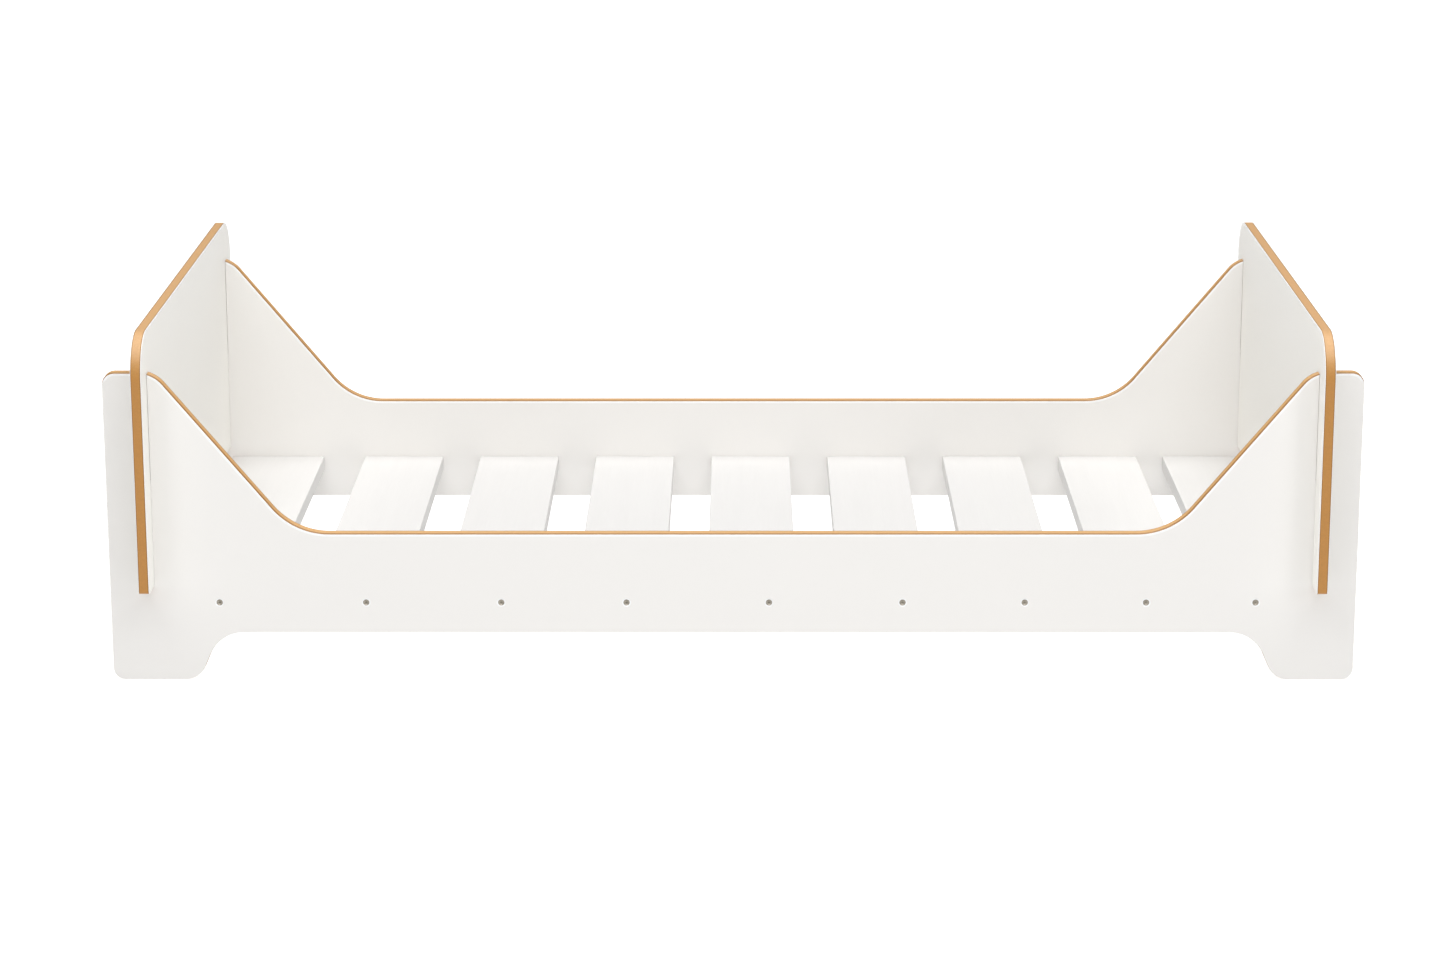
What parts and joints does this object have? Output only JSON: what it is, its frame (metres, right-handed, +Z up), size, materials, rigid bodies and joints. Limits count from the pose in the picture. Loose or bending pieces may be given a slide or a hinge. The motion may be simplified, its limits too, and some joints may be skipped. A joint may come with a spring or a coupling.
{
  "type": "toddler bed",
  "caption": "Low slatted toddler bed: notched side panels with tall ears and arched feet, and rounded end boards that drop into the notches.",
  "frame": {"origin": "on the floor, under the middle of the bed", "axes": "+X along the bed from the left end board to the right one, +Y from the front side panel to the rear one, +Z up"},
  "size_m": [1.5292, 0.822, 0.439],
  "materials": {
    "side_laminate": "satin warm-white laminate on both faces of an oiled caramel-brown wood-fibre core, which shows on every edge",
    "end_laminate": "satin warm-white laminate on both faces of an oiled caramel-brown wood-fibre core, which shows on every edge",
    "slat_paint": "solid wood slats painted satin white",
    "screw_steel": "zinc-plated steel, slightly dull"
  },
  "bodies": {
    "frame": {"side_panel_front": "side_laminate", "side_panel_rear": "side_laminate", "slat_1": "slat_paint", "slat_2": "slat_paint", "slat_3": "slat_paint", "slat_4": "slat_paint", "slat_5": "slat_paint", "slat_6": "slat_paint", "slat_7": "slat_paint", "slat_8": "slat_paint", "slat_9": "slat_paint", "screw_front_1": "screw_steel", "screw_front_2": "screw_steel", "screw_front_3": "screw_steel", "screw_front_4": "screw_steel", "screw_front_5": "screw_steel", "screw_front_6": "screw_steel", "screw_front_7": "screw_steel", "screw_front_8": "screw_steel", "screw_front_9": "screw_steel", "screw_rear_1": "screw_steel", "screw_rear_2": "screw_steel", "screw_rear_3": "screw_steel", "screw_rear_4": "screw_steel", "screw_rear_5": "screw_steel", "screw_rear_6": "screw_steel", "screw_rear_7": "screw_steel", "screw_rear_8": "screw_steel", "screw_rear_9": "screw_steel"},
    "left_end": {"end_board_left": "end_laminate"},
    "right_end": {"end_board_right": "end_laminate"}
  },
  "joints": [
    {"name": "left_board_lift", "type": "slide", "parent": "frame", "child": "left_end", "axis": [0, 0, 1], "range_m": [0, 0.27]},
    {"name": "right_board_lift", "type": "slide", "parent": "frame", "child": "right_end", "axis": [0, 0, 1], "range_m": [0, 0.27]}
  ]
}
